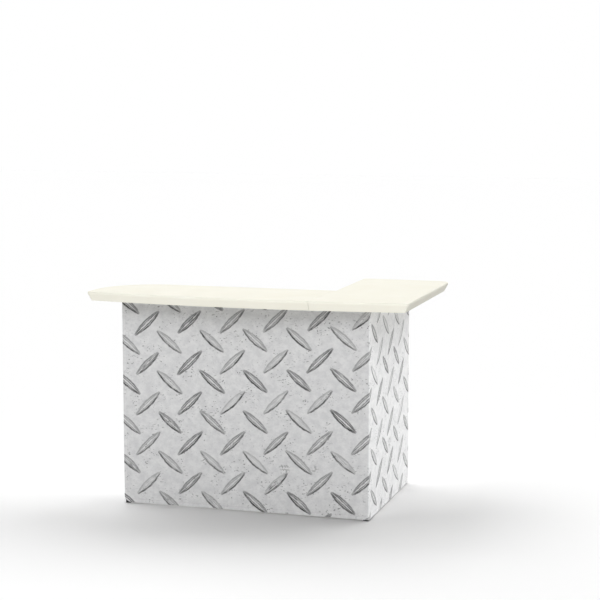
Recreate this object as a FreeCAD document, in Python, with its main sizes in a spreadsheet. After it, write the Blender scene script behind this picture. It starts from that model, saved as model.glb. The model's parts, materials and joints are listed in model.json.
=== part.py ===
import FreeCAD
import Part
import Sketcher
import math
import os
import re

# Portable bar: an L-shaped countertop in two moulded sections on a folding tube frame,
# wrapped in a printed skin. Millimetres, +X to the guest's right, +Y to the bartender,
# +Z up. The origin is on the floor under the middle of the countertop.

# Driving dimensions, one cell each in the sheet.
SIZES = {
    # countertop
    "counter_length": 1626,
    "counter_depth": 1016,
    "bar_height": 1067,
    "counter_thickness": 45,
    "counter_bow": 62,
    "main_depth": 460,
    "return_width": 461,
    "seam_setback": 12,
    "seam_gap": 1.6,
    "edge_inset": 19,
    "lip_height": 9,
    "lip_radius": 3,
    "front_corner_radius": 20,
    "back_left_radius": 290,
    "back_right_radius": 62,
    "return_corner_radius": 25,
    "inner_corner_radius": 10,
    "shell_wall": 5,
    "rim_width": 8,
    "base_thickness": 4,
    "base_clearance": 0.4,
    "rib_thickness": 5,
    "rib_margin": 20,
    # how the countertop stands over the body
    "right_overhang": 200,
    "left_overhang": 164,
    "front_overhang": 120,
    "back_overhang": 80,
    # skin and the strips that hold it
    "skin_thickness": 1.5,
    "strip_thickness": 2.5,
    "strip_width": 20,
    "skin_floor_gap": 6,
    "skin_top_gap": 2,
    "skin_corner_radius": 35,
    # tube frames
    "tube_size": 25,
    "tube_wall": 1.5,
    "post_depth": 60,
    "foot_height": 10,
    "cap_height": 3,
    "plug_length": 16,
    "plug_clearance": 0.2,
    "bottom_rail_height": 40,
    "wing_mid_rail_height": 520,
    "wing_clearance": 1.5,
    "left_wing_setback": 42,
    "stile_offset": 22,
    # shelves
    "shelf_length": 735,
    "shelf_shift": 7.5,
    "shelf_depth": 250,
    "shelf_thickness": 18,
    "shelf_corner_radius": 18,
    "shelf_edge_radius": 2,
    "upper_shelf_height": 680,
    "lower_shelf_height": 340,
    "shelf_hinge_inset": 110,
    # hinges
    "hinge_gap": 1,
    "hinge_offset": 4,
    "hinge_height": 60,
    "hinge_end_distance": 120,
    "leaf_width": 21,
    "leaf_thickness": 2,
    "knuckle_radius": 3.7,
    "knuckle_gap": 0.4,
    "hinge_pin_radius": 2,
    "pin_clearance": 0.05,
    "rivet_radius": 2.6,
    "rivet_height": 1,
    "rivet_inset": 7,
    # countertop fittings
    "peg_radius": 5,
    "peg_length": 16,
    "peg_tip": 4,
    "peg_clearance": 0.5,
    "peg_end_distance": 90,
    "screw_radius": 4,
    "screw_height": 0.8,
    "screw_margin": 40,
    "button_arm": 55,
    "button_tail": 17,
    "button_width": 30,
    "button_thickness": 8,
    "button_pivot_distance": 30,
    "button_clearance": 0.3,
    "button_recess": 20,
    "button_first": 100,
    "button_pitch": 140,
    "pivot_radius": 4,
    "pivot_head_radius": 8,
    "pivot_head_height": 4,
    "boss_half_width": 18,
}

# Places worked out from the driving dimensions, as expressions.
PLACES = {
    "counter_right": "counter_length / 2",
    "counter_left": "-counter_length / 2",
    "counter_front": "-counter_depth / 2",
    "counter_back": "counter_depth / 2",
    "counter_under": "bar_height - counter_thickness",
    "bow_radius": "(counter_length ^ 2 / 4 + counter_bow ^ 2) / (2 * counter_bow)",
    "front_corner": "counter_front + counter_bow",
    "main_back": "counter_front + main_depth",
    "return_left": "counter_right - return_width",
    "seam": "return_left - seam_setback",
    "cavity_inset": "edge_inset + rim_width",
    "cavity_top": "bar_height - shell_wall",
    "rib_bottom": "counter_under + base_thickness",
    "body_right": "counter_right - right_overhang",
    "body_left": "counter_left + left_overhang",
    "body_front": "counter_front + front_overhang",
    "body_back": "counter_back - back_overhang",
    "skin_build": "skin_thickness + strip_thickness",
    "skin_top": "counter_under - skin_top_gap",
    "skin_height": "skin_top - skin_floor_gap",
    "frame_right": "body_right - skin_build",
    "frame_left": "body_left + skin_build",
    "frame_front": "body_front + skin_build",
    "frame_back": "body_back - skin_build",
    "rail_back": "frame_front + tube_size",
    "post_back": "frame_front + post_depth",
    "right_inner": "frame_right - tube_size",
    "left_inner": "frame_left + tube_size",
    "rail_length": "right_inner - left_inner",
    "wing_start": "post_back + hinge_gap",
    "right_wing_length": "frame_back - wing_start",
    "left_wing_end": "main_back - left_wing_setback",
    "left_wing_length": "left_wing_end - wing_start",
    "wing_top": "counter_under - wing_clearance",
    "hinge_y": "post_back + hinge_gap / 2",
    "shelf_left": "-shelf_shift - shelf_length / 2",
    "shelf_right": "shelf_left + shelf_length",
    "shelf_hinge_y": "rail_back + hinge_gap / 2",
    "shelf_front": "rail_back + hinge_gap",
    "top_hinge_z": "counter_under - hinge_end_distance - hinge_height",
    "knuckle_height": "hinge_height / 3",
    "leaf_start": "knuckle_radius + knuckle_gap",
    "pivot_x": "seam - button_pivot_distance",
    "button_top": "counter_under + button_recess - button_clearance",
    "boss_bottom": "counter_under + button_recess",
}

# Where the ribs stand, as shares of the main section's length and of the whole depth.
MAIN_RIB_SHARES = (0.18, 0.34, 0.5, 0.66, 0.82)
RETURN_RIB_SHARES = (0.12, 0.34, 0.56, 0.78, 0.92)

doc = FreeCAD.newDocument("portable_bar")
dims = doc.addObject("Spreadsheet::Sheet", "dims")
for row, (alias, size) in enumerate(SIZES.items(), start=1):
    dims.set(f"A{row}", alias)
    dims.set(f"B{row}", str(size))
    dims.setAlias(f"B{row}", alias)
doc.recompute()

nodes = {}


# Expressions and document helpers

def expand(text):
    """An expression in which each place and each size is written out for the sheet."""
    def swap(match):
        word = match.group()
        if word in SIZES:
            return "dims." + word
        if word in PLACES:
            return "(" + expand(PLACES[word]) + ")"
        return word
    return re.sub(r"[a-z_]+", swap, str(text))


def number(text):
    """The value that an expression has now."""
    return float(dims.evalExpression(expand(text)))


def bind(item, **expressions):
    """Tie properties of an object to expressions of the sheet."""
    for name, text in expressions.items():
        item.setExpression(name, expand(text))
    return item


def put(item, x, y, z):
    """Tie an object's place to expressions of the sheet."""
    for axis, text in zip("xyz", (x, y, z)):
        item.setExpression(f"Placement.Base.{axis}", expand(text))
    return item


def node(item, label):
    """Keep an object as a finished sub-part under its own name."""
    item.Label = label
    nodes[label] = item
    return item


def group(label, members):
    """Several like pieces, each its own solid, in one sub-part."""
    compound = doc.addObject("Part::Compound", label)
    compound.Links = members
    return node(compound, label)


def block(name, low, size):
    """A box from its low corner and its three sizes, all expressions."""
    box = bind(doc.addObject("Part::Box", name), Length=size[0], Width=size[1], Height=size[2])
    return put(box, *low)


def rod(name, centre, radius, height):
    """An upright cylinder from the centre of its lower end."""
    cylinder = bind(doc.addObject("Part::Cylinder", name), Radius=radius, Height=height)
    return put(cylinder, *centre)


def cut(name, base, tool):
    result = doc.addObject("Part::Cut", name)
    result.Base = base
    result.Tool = tool
    return result


def fuse(name, members):
    result = doc.addObject("Part::MultiFuse", name)
    result.Shapes = members
    return result


def tube(name, run, low, size):
    """A square tube, hollow along one axis, from its low corner and outer sizes."""
    inner_low = []
    inner_size = []
    for axis, start, length in zip("xyz", low, size):
        sign = -1 if axis == run else 1
        inner_low.append(f"{start} + {sign} * tube_wall")
        inner_size.append(f"{length} - {2 * sign} * tube_wall")
    outer = block(name + "_outer", low, size)
    inner = block(name + "_inner", inner_low, inner_size)
    return cut(name, outer, inner)


def end_plug(name, low, size, pad_height, plug_low):
    """A plastic end piece: a pad of the tube's outline and a plug inside the tube."""
    pad = block(name + "_pad", low, (size[0], size[1], pad_height))
    inset = "(tube_wall + plug_clearance)"
    plug = block(
        name + "_plug",
        (f"{low[0]} + {inset}", f"{low[1]} + {inset}", plug_low),
        (f"{size[0]} - 2 * {inset}", f"{size[1]} - 2 * {inset}", "plug_length"),
    )
    return fuse(name, [pad, plug])


def origin_plane(body, role):
    return [item for item in body.Origin.OriginFeatures if item.Role == role][0]


def sketch_in(body, role, name):
    sketch = body.newObject("Sketcher::SketchObject", name)
    sketch.AttachmentSupport = [(origin_plane(body, role), "")]
    sketch.MapMode = "FlatFace"
    return sketch


def held(sketch, kind, references, text):
    """A constraint whose size is an expression of the sheet."""
    index = sketch.addConstraint(Sketcher.Constraint(kind, *references, number(text)))
    sketch.setExpression(f"Constraints[{index}]", expand(text))


def held_line(sketch, kind, side, text):
    """A side's distance from the sketch's origin, measured so that it is positive."""
    if number(text) < 0:
        held(sketch, kind, (side, 1, -1, 1), f"-({text})")
    else:
        held(sketch, kind, (-1, 1, side, 1), text)


def arc(centre, radius, first, last):
    """An arc that runs anticlockwise from one point to the other."""
    start = math.atan2(first.y - centre.y, first.x - centre.x)
    end = math.atan2(last.y - centre.y, last.x - centre.x)
    if end < start:
        end += 2 * math.pi
    circle = Part.Circle(centre, FreeCAD.Vector(0, 0, 1), radius)
    return Part.ArcOfCircle(circle, start, end)


def rounded_outline(sketch, corners, bow=None):
    """A closed outline of upright and level sides with rounded corners, anticlockwise.

    Each corner is (x, y, radius or None). With a bow, (radius, centre height), the first
    side is an arc about a centre on the Y axis instead of a level line.
    """
    count = len(corners)
    points = [FreeCAD.Vector(number(x), number(y), 0) for x, y, radius in corners]
    radii = [number(radius) if radius else 0.0 for x, y, radius in corners]
    along = [(points[(k + 1) % count] - points[k]).normalize() for k in range(count)]
    starts = [points[k] + along[k] * radii[k] for k in range(count)]
    ends = [points[(k + 1) % count] - along[k] * radii[(k + 1) % count] for k in range(count)]
    centres = [ends[k - 1] + along[k] * radii[k] for k in range(count)]
    if bow:
        bow_radius, bow_centre = number(bow[0]), FreeCAD.Vector(0, number(bow[1]), 0)
        for k in (0, 1):
            side = centres[k].x
            drop = math.sqrt((bow_radius - radii[k]) ** 2 - side ** 2)
            centres[k] = FreeCAD.Vector(side, bow_centre.y - drop, 0)
        outward = [(centres[k] - bow_centre).normalize() for k in (0, 1)]
        starts[0] = bow_centre + outward[0] * bow_radius
        ends[0] = bow_centre + outward[1] * bow_radius
        ends[-1].y = centres[0].y
        starts[1].y = centres[1].y
    sides = []
    for k in range(count):
        if bow and k == 0:
            line = arc(bow_centre, bow_radius, starts[0], ends[0])
        else:
            line = Part.LineSegment(starts[k], ends[k])
        sides.append(sketch.addGeometry(line))
    for k in range(count):
        before, after = sides[k - 1], sides[k]
        if not corners[k][2]:
            sketch.addConstraint(Sketcher.Constraint("Coincident", before, 2, after, 1))
            continue
        convex = along[k - 1].cross(along[k]).z > 0
        first, last = (ends[k - 1], starts[k]) if convex else (starts[k], ends[k - 1])
        corner = sketch.addGeometry(arc(centres[k], radii[k], first, last))
        entry, leave = (1, 2) if convex else (2, 1)
        sketch.addConstraint(Sketcher.Constraint("Tangent", before, 2, corner, entry))
        sketch.addConstraint(Sketcher.Constraint("Tangent", corner, leave, after, 1))
        held(sketch, "Radius", (corner,), corners[k][2])
    for k in range(count):
        if bow and k == 0:
            held(sketch, "Radius", (sides[0],), bow[0])
            sketch.addConstraint(Sketcher.Constraint("PointOnObject", sides[0], 3, -2))
            held(sketch, "DistanceY", (-1, 1, sides[0], 3), bow[1])
        elif abs(along[k].x) > abs(along[k].y):
            sketch.addConstraint(Sketcher.Constraint("Horizontal", sides[k]))
            held_line(sketch, "DistanceY", sides[k], corners[k][1])
        else:
            sketch.addConstraint(Sketcher.Constraint("Vertical", sides[k]))
            held_line(sketch, "DistanceX", sides[k], corners[k][0])


def padded_body(name, role, corners, thickness, bow=None):
    """A body with one outline padded to a thickness, and its pad."""
    body = doc.addObject("PartDesign::Body", name)
    sketch = sketch_in(body, role, name + "_outline")
    rounded_outline(sketch, corners, bow)
    pad = body.newObject("PartDesign::Pad", name + "_pad")
    pad.Profile = sketch
    bind(pad, Length=thickness)
    return body, pad


def rounded_edges(body, name, feature, radius, chosen):
    """A fillet on those edges of a feature that the test picks."""
    doc.recompute()
    edges = [f"Edge{n}" for n, edge in enumerate(feature.Shape.Edges, start=1) if chosen(edge)]
    fillet = body.newObject("PartDesign::Fillet", name)
    fillet.Base = (feature, edges)
    bind(fillet, Radius=radius)
    return fillet


# Frame tubes

def front_frame():
    post_size = ("tube_size", "post_depth", "counter_under - cap_height - foot_height")
    for side, x in (("left", "frame_left"), ("right", "right_inner")):
        post = tube(f"front_{side}_post", "z", (x, "frame_front", "foot_height"), post_size)
        node(post, f"front_{side}_post")
    rail_size = ("rail_length", "tube_size", "tube_size")
    levels = {
        "front_bottom_rail": "bottom_rail_height",
        "lower_shelf_rail": "lower_shelf_height - tube_size",
        "upper_shelf_rail": "upper_shelf_height - tube_size",
        "front_top_rail": "counter_under - tube_size",
    }
    rails = {}
    for name, z in levels.items():
        rails[name] = tube(name + "_tube", "x", ("left_inner", "frame_front", z), rail_size)
    pegs = [
        rod(f"peg_hole_{n}", (x, peg_y(), "counter_under - tube_size / 2"),
            "peg_radius + peg_clearance", "tube_size")
        for n, x in enumerate(peg_places())
    ]
    holes = fuse("peg_holes", pegs)
    drilled = cut("front_top_rail_drilled", rails.pop("front_top_rail"), holes)
    node(drilled, "front_top_rail")
    for name, rail in rails.items():
        node(rail, name)
    spans = [("bottom_rail_height", "lower_shelf_height - tube_size"),
             ("lower_shelf_height - tube_size", "upper_shelf_height - tube_size"),
             ("upper_shelf_height - tube_size", "counter_under - tube_size")]
    stiles = []
    for side, x in (("left", "shelf_left - stile_offset - tube_size"),
                    ("right", "shelf_right + stile_offset")):
        for n, (low, high) in enumerate(spans):
            bottom = f"{low} + tube_size"
            size = ("tube_size", "tube_size", f"({high}) - ({bottom})")
            stiles.append(tube(f"stile_{side}_{n}", "z", (x, "frame_front", bottom), size))
    group("front_stiles", stiles)
    post_plan = [("left", "frame_left"), ("right", "right_inner")]
    plan = [(side, x, "frame_front", "post_depth") for side, x in post_plan]
    feet_and_caps("front", plan, "counter_under")


def feet_and_caps(frame, plan, top):
    """Feet and top caps on the posts of one frame; plan gives name, x, y and depth."""
    feet = []
    caps = []
    for side, x, y, depth in plan:
        size = ("tube_size", depth)
        feet.append(end_plug(f"{frame}_{side}_foot", (x, y, "0"), size,
                             "foot_height", "foot_height"))
        caps.append(end_plug(f"{frame}_{side}_cap", (x, y, f"{top} - cap_height"), size,
                             "cap_height", f"{top} - cap_height - plug_length"))
    group(f"{frame}_feet", feet)
    group(f"{frame}_post_caps", caps)


def wing(side, x, length, end):
    """A side frame: two posts, three rails, feet and caps."""
    name = f"{side}_wing"
    back_y = f"{end} - tube_size"
    post_size = ("tube_size", "tube_size", "wing_top - cap_height - foot_height")
    for place, y in (("front", "wing_start"), ("back", back_y)):
        post = tube(f"{name}_{place}_post", "z", (x, y, "foot_height"), post_size)
        node(post, f"{name}_{place}_post")
    rail_size = ("tube_size", f"{length} - 2 * tube_size", "tube_size")
    levels = (("bottom", "bottom_rail_height"), ("mid", "wing_mid_rail_height"),
              ("top", "wing_top - tube_size"))
    for place, z in levels:
        rail = tube(f"{name}_{place}_rail", "y", (x, "wing_start + tube_size", z), rail_size)
        node(rail, f"{name}_{place}_rail")
    plan = [("front", x, "wing_start", "tube_size"), ("back", x, back_y, "tube_size")]
    feet_and_caps(name, plan, "wing_top")


# Skin and hook-and-loop strips

def skins():
    corners = [
        ("body_left", "skin_floor_gap", "skin_corner_radius"),
        ("body_right", "skin_floor_gap", None),
        ("body_right", "skin_top", None),
        ("body_left", "skin_top", None),
    ]
    body, _ = padded_body("skin_front", "XZ_Plane", corners, "skin_thickness")
    put(body, "0", "body_front + skin_thickness", "0")
    node(body, "skin_front")
    right_x = "body_right - skin_thickness"
    corner_y = "body_front + skin_thickness"
    corner_depth = "post_depth + strip_thickness"
    rounded = "skin_corner_radius"
    group("skin_corners", [
        block("skin_right_corner", (right_x, corner_y, "skin_floor_gap"),
              ("skin_thickness", corner_depth, "skin_height")),
        block("skin_left_corner", ("body_left", corner_y, f"skin_floor_gap + {rounded}"),
              ("skin_thickness", corner_depth, f"skin_height - {rounded}")),
    ])
    for label, x, length in (("skin_right", right_x, "body_back - wing_start"),
                             ("skin_left", "body_left", "left_wing_length")):
        size = ("skin_thickness", length, "skin_height")
        node(block(label, (x, "wing_start", "skin_floor_gap"), size), label)


def strips():
    inset = "(tube_size - strip_width) / 2"
    post_z = "skin_floor_gap + skin_corner_radius"
    post_height = "skin_height - skin_corner_radius"
    front_y = "body_front + skin_thickness"
    right_x = "frame_right"
    left_x = "body_left + skin_thickness"
    front = [
        block("strip_front_left", (f"frame_left + {inset}", front_y, post_z),
              ("strip_width", "strip_thickness", post_height)),
        block("strip_front_right", (f"right_inner + {inset}", front_y, post_z),
              ("strip_width", "strip_thickness", post_height)),
    ]
    for name, z in (("bottom", "bottom_rail_height"), ("top", "counter_under - tube_size")):
        front.append(block(f"strip_front_{name}", ("left_inner", front_y, f"{z} + {inset}"),
                           ("rail_length", "strip_thickness", "strip_width")))
    corner_y = f"post_back - strip_width - {inset}"
    for side, x in (("right", right_x), ("left", left_x)):
        front.append(block(f"strip_corner_{side}", (x, corner_y, post_z),
                           ("strip_thickness", "strip_width", post_height)))
    group("front_hook_strips", front)
    for side, x, end, length in (
        ("right", right_x, "frame_back", "right_wing_length"),
        ("left", left_x, "left_wing_end", "left_wing_length"),
    ):
        wing_strips = []
        for place, y in (("front", f"wing_start + {inset}"),
                         ("back", f"{end} - strip_width - {inset}")):
            wing_strips.append(block(f"strip_{side}_{place}", (x, y, post_z),
                                     ("strip_thickness", "strip_width", post_height)))
        rail_strip = ("strip_thickness", f"{length} - 2 * tube_size", "strip_width")
        for place, z in (("bottom", "bottom_rail_height"), ("top", "wing_top - tube_size")):
            low = (x, "wing_start + tube_size", f"{z} + {inset}")
            wing_strips.append(block(f"strip_{side}_{place}", low, rail_strip))
        group(f"{side}_hook_strips", wing_strips)


# Hinges: the pin runs along local Z through the origin, the leaves lie on the plane
# x = hinge_offset, and the moving leaf is on the +Y side.

def knuckle(name, low):
    return rod(name, ("0", "0", low), "knuckle_radius", "knuckle_height - knuckle_gap")


def leaf(name, moving):
    """One leaf with its knuckles: the middle knuckle on the moving leaf, the ends on the other."""
    plate_x = "hinge_offset - leaf_thickness"
    plate_y = "leaf_start" if moving else "-leaf_start - leaf_width"
    solids = [block(name + "_plate", (plate_x, plate_y, "0"),
                    ("leaf_thickness", "leaf_width", "hinge_height - knuckle_gap"))]
    places = ["knuckle_height"] if moving else ["0", "2 * knuckle_height"]
    for n, low in enumerate(places):
        solids.append(knuckle(f"{name}_knuckle_{n}", low))
        web_y = "0" if moving else "-leaf_start"
        web_size = ("leaf_thickness", "leaf_start", "knuckle_height - knuckle_gap")
        solids.append(block(f"{name}_web_{n}", (plate_x, web_y, low), web_size))
    bore = rod(name + "_bore", ("0", "0", "-hinge_height"),
               "hinge_pin_radius + pin_clearance", "3 * hinge_height")
    return cut(name, fuse(name + "_solid", solids), bore)


def leaf_rivets(name, moving):
    """Two rivet heads on one leaf."""
    plate_x = "hinge_offset - leaf_thickness - rivet_height"
    middle = "leaf_start + leaf_width / 2"
    rivets = []
    for n, z in enumerate(("rivet_inset", "hinge_height - knuckle_gap - rivet_inset")):
        head = bind(doc.addObject("Part::Cylinder", f"{name}_{n}"),
                    Radius="rivet_radius", Height="rivet_height")
        head.Placement.Rotation = FreeCAD.Rotation(FreeCAD.Vector(0, 1, 0), 90)
        rivets.append(put(head, plate_x, middle if moving else f"-({middle})", z))
    compound = doc.addObject("Part::Compound", name)
    compound.Links = rivets
    return compound


def hinge(name, turn, place):
    """Both leaves, the pin and the rivets of one hinge, turned about Y and put in place."""
    pieces = {
        "fixed": leaf(name + "_fixed", False),
        "moving": leaf(name + "_moving", True),
        "pin": rod(name + "_pin", ("0", "0", "0"), "hinge_pin_radius", "hinge_height - knuckle_gap"),
        "fixed_rivets": leaf_rivets(name + "_fixed_rivets", False),
        "moving_rivets": leaf_rivets(name + "_moving_rivets", True),
    }
    for piece in pieces.values():
        piece.Placement.Rotation = FreeCAD.Rotation(FreeCAD.Vector(0, 1, 0), turn)
        put(piece, *place)
    return pieces


def hinge_row(row, turn, places, moving_labels):
    """The like pieces of several hinges, gathered into sub-parts."""
    made = [hinge(f"{row}_{n}", turn, place) for n, place in enumerate(places)]
    group(f"{row}_fixed_leaves", [pieces["fixed"] for pieces in made])
    group(f"{row}_pins", [pieces["pin"] for pieces in made])
    share = len(made) // len(moving_labels)
    for n, label in enumerate(moving_labels):
        part = made[n * share:(n + 1) * share]
        group(f"{label}_leaves", [pieces["moving"] for pieces in part])
        group(f"{label}_rivets", [pieces["moving_rivets"] for pieces in part])
    return [pieces["fixed_rivets"] for pieces in made]


def hinges():
    low, high = "hinge_end_distance", "top_hinge_z"
    middle = f"({low} + {high}) / 2"
    right_x = "right_inner - hinge_offset"
    rivets = hinge_row("right_hinge", 0, [(right_x, "hinge_y", z) for z in (low, middle, high)],
                       ["right_wing_hinge"])
    left_x = "left_inner + hinge_offset"
    rivets += hinge_row("left_hinge", 180,
                        [(left_x, "hinge_y", f"{z} + hinge_height") for z in (low, middle, high)],
                        ["left_wing_hinge"])
    shelf_x = ("shelf_left + shelf_hinge_inset", "shelf_right - shelf_hinge_inset - hinge_height")
    places = [(x, "shelf_hinge_y", f"{level}_shelf_height + hinge_offset")
              for level in ("upper", "lower") for x in shelf_x]
    rivets += hinge_row("shelf_hinge", 90, places, ["upper_shelf_hinge", "lower_shelf_hinge"])
    group("front_hinge_rivets", rivets)


# Shelves

def shelf(level):
    corners = [
        ("shelf_left", "shelf_front", None),
        ("shelf_right", "shelf_front", None),
        ("shelf_right", "shelf_front + shelf_depth", "shelf_corner_radius"),
        ("shelf_left", "shelf_front + shelf_depth", "shelf_corner_radius"),
    ]
    name = f"{level}_shelf_board"
    body, pad = padded_body(name, "XY_Plane", corners, "shelf_thickness")
    front = number("shelf_front")
    rounded_edges(body, name + "_edges", pad, "shelf_edge_radius",
                  lambda edge: edge.BoundBox.ZLength < 1 and edge.BoundBox.YMax > front + 1
                  and edge.BoundBox.ZMin > 1)
    put(body, "0", "0", f"{level}_shelf_height - shelf_thickness")
    node(body, name)


# Countertop

def counter_corners():
    return [
        ("counter_left", "front_corner", "front_corner_radius"),
        ("counter_right", "front_corner", "front_corner_radius"),
        ("counter_right", "counter_back", "back_right_radius"),
        ("return_left", "counter_back", "return_corner_radius"),
        ("return_left", "main_back", "inner_corner_radius"),
        ("counter_left", "main_back", "back_left_radius"),
    ]


def counter_slab():
    """The whole L-shaped countertop as one solid: an upright lip over edges drawn in below."""
    bow = ("bow_radius", "counter_front + bow_radius")
    body, lip = padded_body("counter_slab", "XY_Plane", counter_corners(), "lip_height", bow)
    lip.Reversed = True
    sketch = sketch_in(body, "XY_Plane", "counter_edge_outline")
    sketch.setExpression("AttachmentOffset.Base.z", expand("-lip_height"))
    rounded_outline(sketch, counter_corners(), bow)
    edge = body.newObject("PartDesign::Pad", "counter_edge")
    edge.Profile = sketch
    edge.Reversed = True
    bind(edge, Length="counter_thickness - lip_height",
         TaperAngle="-atan(edge_inset / (counter_thickness - lip_height))")
    rounded_edges(body, "counter_lip", edge, "lip_radius", lambda side: side.BoundBox.ZMin > -1)
    put(body, "0", "0", "bar_height")
    return body


def inset_prism(name, inset, low, height):
    """An upright prism of the countertop's plan, drawn in by an inset."""
    outline = doc.getObject("counter_slab_outline")
    shrunk = doc.addObject("Part::Offset2D", name + "_outline")
    shrunk.Source = outline
    shrunk.Join = "Intersection"
    bind(shrunk, Value=f"-({inset})")
    prism = doc.addObject("Part::Extrusion", name)
    prism.Base = shrunk
    prism.DirMode = "Custom"
    prism.Dir = FreeCAD.Vector(0, 0, 1)
    prism.Solid = True
    bind(prism, LengthFwd=height)
    return put(prism, "0", "0", low)


def common(name, base, tool):
    result = doc.addObject("Part::Common", name)
    result.Base = base
    result.Tool = tool
    return result


def half_space(name, side, gap):
    """A block that holds one section's side of the seam, up to a gap from the seam."""
    reach = "(counter_length + counter_depth)"
    x = f"seam - {gap} - {reach}" if side == "main" else f"seam + {gap}"
    return block(name, (x, f"-{reach} / 2", "0"), (reach, reach, "2 * bar_height"))


def button_rows():
    return ["main_back - button_first", "main_back - button_first - button_pitch"]


def recess(name, side, y):
    """The window that a turn button swings in, in one section's base panel and seam wall."""
    swing = "(button_arm + button_clearance + base_thickness)"
    reach = "(button_arm - button_pivot_distance + base_thickness)"
    width = swing if side == "main" else reach
    x = f"seam - {width}" if side == "main" else "seam"
    return block(name, (x, f"{y} - {swing}", "counter_under - base_thickness"),
                 (width, f"2 * {swing}", "base_thickness + button_recess"))


def ribs(side):
    """Stiffening ribs between the top wall and the base panel of one section."""
    height = "cavity_top - rib_bottom"
    margin = "(cavity_inset + rib_margin)"
    solids = []
    if side == "main":
        low = f"front_corner + {margin}"
        for n, share in enumerate(MAIN_RIB_SHARES):
            x = f"counter_left + {share} * (seam - counter_left)"
            solids.append(block(f"main_rib_{n}", (x, low, "rib_bottom"),
                                ("rib_thickness", f"main_back - {margin} - ({low})", height)))
    else:
        low = f"return_left + {margin}"
        for n, share in enumerate(RETURN_RIB_SHARES):
            y = f"counter_front + {share} * counter_depth"
            solids.append(block(f"return_rib_{n}", (low, y, "rib_bottom"),
                                (f"counter_right - {margin} - ({low})", "rib_thickness", height)))
    return solids


def fittings(side, n, y):
    """The moulded block over a turn button: a pivot boss, or the keeper on the return."""
    x = "pivot_x - boss_half_width" if side == "main" else "seam + seam_gap / 2 + shell_wall"
    end = "pivot_x + boss_half_width" if side == "main" else "seam + button_arm - button_pivot_distance"
    solid = block(f"{side}_boss_{n}", (x, f"{y} - boss_half_width", "boss_bottom"),
                  (f"({end}) - ({x})", "2 * boss_half_width", "cavity_top - boss_bottom"))
    if side == "return":
        return solid
    hole = rod(f"{side}_boss_hole_{n}", ("pivot_x", y, "counter_under"),
               "pivot_radius + pin_clearance", "cavity_top - counter_under")
    return cut(f"{side}_boss_drilled_{n}", solid, hole)


def section(side, slab, cavity, base):
    """One countertop section: its shell, base panel, ribs and blocks."""
    shell_half = common(f"{side}_solid", slab, half_space(f"{side}_half", side, "seam_gap / 2"))
    wall = "(seam_gap / 2 + shell_wall)"
    hollow = common(f"{side}_hollow", cavity, half_space(f"{side}_hollow_half", side, wall))
    shell = cut(f"{side}_shell", shell_half, hollow)
    recesses = [recess(f"{side}_window_{n}", side, y) for n, y in enumerate(button_rows())]
    windows = fuse(f"{side}_windows", recesses)
    node(cut(f"{side}_shell_open", shell, windows), f"{side}_top_shell")
    clear = "(seam_gap / 2 + shell_wall + base_clearance)"
    panel = common(f"{side}_panel", base, half_space(f"{side}_panel_half", side, clear))
    node(cut(f"{side}_panel_open", panel, windows), f"{side}_base_panel")
    blocks = [fittings(side, n, y) for n, y in enumerate(button_rows())]
    group(f"{side}_ribs", ribs(side))
    return blocks


def countertop():
    slab = counter_slab()
    cavity = inset_prism("cavity", "cavity_inset", "counter_under", "cavity_top - counter_under")
    base = inset_prism("base", "cavity_inset + base_clearance", "counter_under", "base_thickness")
    blocks = []
    for side in ("main", "return"):
        blocks += section(side, slab, cavity, base)
    group("button_blocks", blocks)


# Pegs, screws and turn buttons under the countertop

def peg_y():
    return "(frame_front + rail_back) / 2"


def peg_places():
    left = "left_inner + peg_end_distance"
    right = "right_inner - peg_end_distance"
    return [left, f"({left} + seam) / 2", "seam - peg_end_distance", "seam + peg_end_distance", right]


def pegs():
    made = []
    for n, x in enumerate(peg_places()):
        shank = rod(f"peg_shank_{n}", (x, peg_y(), "counter_under - peg_length"),
                    "peg_radius", "peg_length")
        tip = bind(doc.addObject("Part::Cone", f"peg_tip_{n}"),
                   Radius1="peg_radius / 2", Radius2="peg_radius", Height="peg_tip")
        put(tip, x, peg_y(), "counter_under - peg_length - peg_tip")
        made.append(fuse(f"peg_{n}", [shank, tip]))
    group("locating_pegs", made)


def base_screws():
    """Wafer heads of the screws that hold the main base panel to all ribs but the last."""
    margin = "(cavity_inset + screw_margin)"
    heads = []
    rows = (f"main_back - {margin}", f"rail_back + {margin}")
    for n, share in enumerate(MAIN_RIB_SHARES[:-1]):
        x = f"counter_left + {share} * (seam - counter_left) + rib_thickness / 2"
        for k, y in enumerate(rows):
            heads.append(rod(f"main_screw_{n}_{k}", (x, y, "counter_under - screw_height"),
                             "screw_radius", "screw_height"))
    group("base_screws", heads)


def turn_buttons():
    """Each button is a rounded bar that swings on a shoulder screw."""
    pivots = []
    for n, y in enumerate(button_rows()):
        name = ("back", "front")[n] + "_turn_button"
        half = "button_width / 2"
        corner = "button_width / 2 - button_clearance"
        corners = [
            ("-button_tail", f"-{half}", corner), ("button_arm", f"-{half}", corner),
            ("button_arm", half, corner), ("-button_tail", half, corner),
        ]
        body, _ = padded_body(name + "_bar", "XY_Plane", corners, "button_thickness")
        put(body, "pivot_x", y, "button_top - button_thickness")
        hole = rod(name + "_hole", ("pivot_x", y, "counter_under"),
                   "pivot_radius + pin_clearance", "counter_thickness")
        node(cut(name, body, hole), name)
        head_z = "button_top - button_thickness - button_clearance - pivot_head_height"
        head = rod(name + "_head", ("pivot_x", y, head_z), "pivot_head_radius", "pivot_head_height")
        shank = rod(name + "_shank", ("pivot_x", y, head_z), "pivot_radius", f"cavity_top - ({head_z})")
        pivots.append(fuse(name + "_pivot", [head, shank]))
    group("button_pivots", pivots)


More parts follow.
